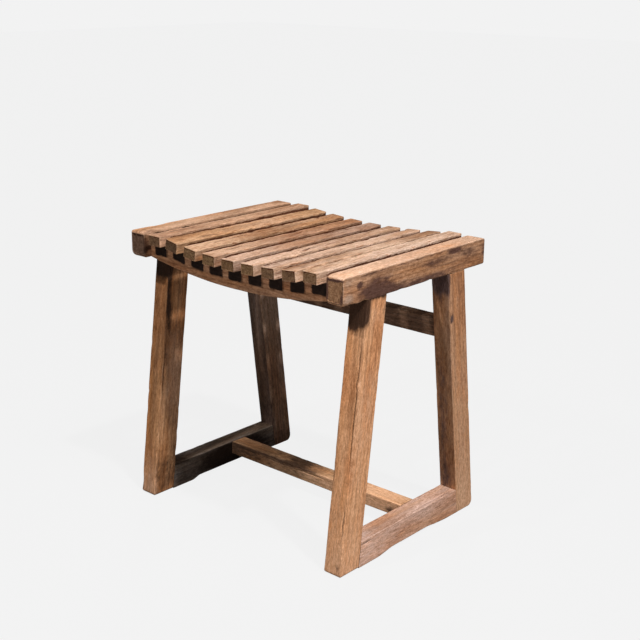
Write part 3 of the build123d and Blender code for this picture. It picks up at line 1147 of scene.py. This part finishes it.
# Screen values. A program set the wood and pale colours, apart from back_seat_rail's, from mean colours
# of the photograph and of a render.
# The slats' stain colour also paints the shade deep in the gaps
slat_look = {"stain": (86, 45, 28), "streaks": 0.7, "blotches": 0.9, "flecks": 0.9}
tones = {
    "right_end_rail": Tone(
        (194, 145, 110), (196, 165, 142), blotches=0.8, stain=(84, 57, 49), end=(166, 124, 91)),
    "left_end_rail": Tone((181, 140, 111), (198, 163, 135), stain=(58, 34, 22), end=(116, 89, 73)),
    "front_right_leg": Tone((203, 149, 108), (227, 176, 138), stain=(52, 33, 24)),
    "front_left_leg": Tone((182, 132, 92), (214, 169, 137), stain=(52, 35, 26)),
    "back_right_leg": Tone((184, 138, 105), (215, 170, 135), stain=(84, 66, 64)),
    "back_left_leg": Tone((159, 128, 109), (184, 154, 132), stain=(62, 44, 36)),
    "right_bottom_rail": Tone(
        (196, 158, 138), (224, 188, 170), streaks=0.35, blotches=0.45, rings=0.25, stain=(118, 82, 68)),
    "left_bottom_rail": Tone((125, 111, 101), (142, 132, 121), stain=(38, 25, 18)),
    "low_stretcher": Tone((198, 155, 119), (246, 192, 151), stain=(84, 62, 48)),
    "back_stretcher": Tone((116, 93, 78), (139, 114, 94), stain=(40, 30, 26)),
    # The front seat rail's stain colour is the painted shadow under the slat ends
    "front_seat_rail": Tone((156, 114, 85), (170, 128, 102), stain=(26, 17, 15)),
    "back_seat_rail": Tone((150, 108, 78), (170, 128, 96)),
    "slat_1": Tone((178, 139, 112), (196, 157, 128), **slat_look),
    "slat_2": Tone((173, 134, 101), (205, 165, 134), **slat_look, end=(108, 82, 60)),
    "slat_3": Tone((168, 129, 99), (212, 175, 144), **slat_look, end=(137, 106, 75)),
    "slat_4": Tone((174, 135, 109), (211, 174, 145), **slat_look, end=(139, 108, 75)),
    "slat_5": Tone((165, 132, 112), (209, 174, 150), **slat_look, end=(137, 104, 73)),
    "slat_6": Tone((177, 145, 123), (210, 176, 153), **slat_look, end=(143, 110, 77)),
    "slat_7": Tone((182, 150, 129), (213, 180, 156), **slat_look, end=(131, 100, 73)),
    "slat_8": Tone((174, 141, 117), (221, 188, 162), **slat_look, end=(131, 100, 73)),
    "slat_9": Tone((188, 156, 133), (206, 177, 157), **slat_look, end=(139, 106, 77)),
}


def add_object(name, data):
    """A new object in the scene."""
    made = bpy.data.objects.new(name, data)
    bpy.context.scene.collection.objects.link(made)
    return made


def build_stool():
    """Makes every piece of wood, puts it on the stool's body and hides the node that it stands for."""
    group = teak_group()
    for bar in all_bars():
        mesh = Loft(bar).mesh()
        mesh.materials.append(teak(bar.node + "_teak", tones[bar.node], bar.seed, group))
        piece = add_object(bar.node + "_wood", mesh)
        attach(piece, "root")
        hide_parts(bar.node)
    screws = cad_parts["slat_screws"]
    screws.data.materials.clear()
    screws.data.materials.append(screw_steel())


# Light, floor and camera


def towards(azimuth, elevation):
    """A direction from the stool, with azimuth 0 in front and 90 on the right, in degrees."""
    a, e = math.radians(azimuth), math.radians(elevation)
    return Vector((math.sin(a) * math.cos(e), -math.cos(a) * math.cos(e), math.sin(e)))


def add_lamp(name, data, place, target):
    """Puts a lamp at a place, looking at a target, and gives it back."""
    lamp = add_object(name, data)
    lamp.location = place
    lamp.rotation_mode = "QUATERNION"
    lamp.rotation_quaternion = (Vector(place) - Vector(target)).to_track_quat("Z", "Y")
    return lamp


def add_sun(name, azimuth, elevation, strength, width):
    """A far lamp."""
    data = bpy.data.lights.new(name, "SUN")
    data.energy = strength
    data.angle = math.radians(width)
    return add_lamp(name, data, towards(azimuth, elevation) * 4, (0, 0, 0))


def add_softbox(name, place, power, size):
    """A near lamp, aimed at the middle of the stool."""
    data = bpy.data.lights.new(name, "AREA")
    data.energy = power
    data.size = size
    add_lamp(name, data, place, (0, 0, 0.3))


def add_lights():
    """The photograph's light: strong from the right and above, weaker from the front, weak from behind.

    The seat's top has no sheen in the photograph, so the lamp behind the stool gives no glint.
    """
    add_sun("right_sun", 80, 57, 2.5, 3)
    add_softbox("high_right_lamp", (0.65, -0.20, 1.45), 6.0, 0.2)
    add_softbox("near_right_lamp", (0.45, -0.30, 0.90), 0.9, 0.1)
    add_softbox("low_right_lamp", (0.75, -0.45, 0.12), 1.0, 0.3)
    add_softbox("front_lamp", (-0.08, -1.04, 1.50), 7.6, 0.05)
    add_softbox("low_front_lamp", (0.10, -1.35, 0.30), 1.3, 0.4)
    back = add_sun("back_sun", 218, 35, 0.7, 12)
    back.visible_glossy = False


def add_world():
    """A white surround for the camera, and a weak fill for the wood."""
    world = bpy.data.worlds.new("studio")
    g = cleared(world)
    fill = g.node("Background", {"Color": (1.0, 1.0, 1.0, 1.0), "Strength": 0.015})
    white = g.node("Background", {"Color": srgb(*backdrop), "Strength": 1.0})
    both = g.node("MixShader", {0: g.node("LightPath", out="Is Camera Ray"), 1: fill, 2: white})
    g.surface("World", both)
    bpy.context.scene.world = world


def add_floor():
    """A pale floor: paper where it lights the stool, and all but free of shadow where it shows."""
    mesh = bpy.data.meshes.new("floor")
    corners = [(x * floor_half, y * floor_half, 0) for x, y in ((-1, -1), (1, -1), (1, 1), (-1, 1))]
    mesh.from_pydata(corners, [], [(0, 1, 2, 3)])
    material = bpy.data.materials.new("floor")
    g = cleared(material)
    glow = g.node("Emission", {"Color": srgb(*backdrop), "Strength": 0.96})
    faint = g.node("BsdfDiffuse", {"Color": (0.03, 0.03, 0.03, 1.0)})
    seen = g.node("AddShader", {0: glow, 1: faint})
    paper = g.node("BsdfDiffuse", {"Color": (0.15, 0.15, 0.15, 1.0)})
    both = g.node("MixShader", {0: g.node("LightPath", out="Is Camera Ray"), 1: paper, 2: seen})
    g.surface("Material", both)
    mesh.materials.append(material)
    add_object("floor", mesh)


def add_camera():
    """The photograph's camera."""
    back = towards(camera_azimuth, camera_elevation)
    right = (-back).cross(Vector((0, 0, 1))).normalized()
    up = right.cross(-back)
    roll = math.radians(camera_roll)
    c, s = math.cos(roll), math.sin(roll)
    right, up = c * right + s * up, -s * right + c * up
    data = bpy.data.cameras.new("camera")
    data.sensor_width = sensor_mm
    data.lens = sensor_mm * camera_focal_px / image_px
    camera = add_object("camera", data)
    matrix = Matrix((right, up, back)).transposed().to_4x4()
    matrix.translation = camera_target + back * camera_distance
    camera.matrix_world = matrix
    bpy.context.scene.camera = camera


bpy.context.scene.view_settings.view_transform = "Standard"
build_stool()
add_lights()
add_world()
add_floor()
add_camera()
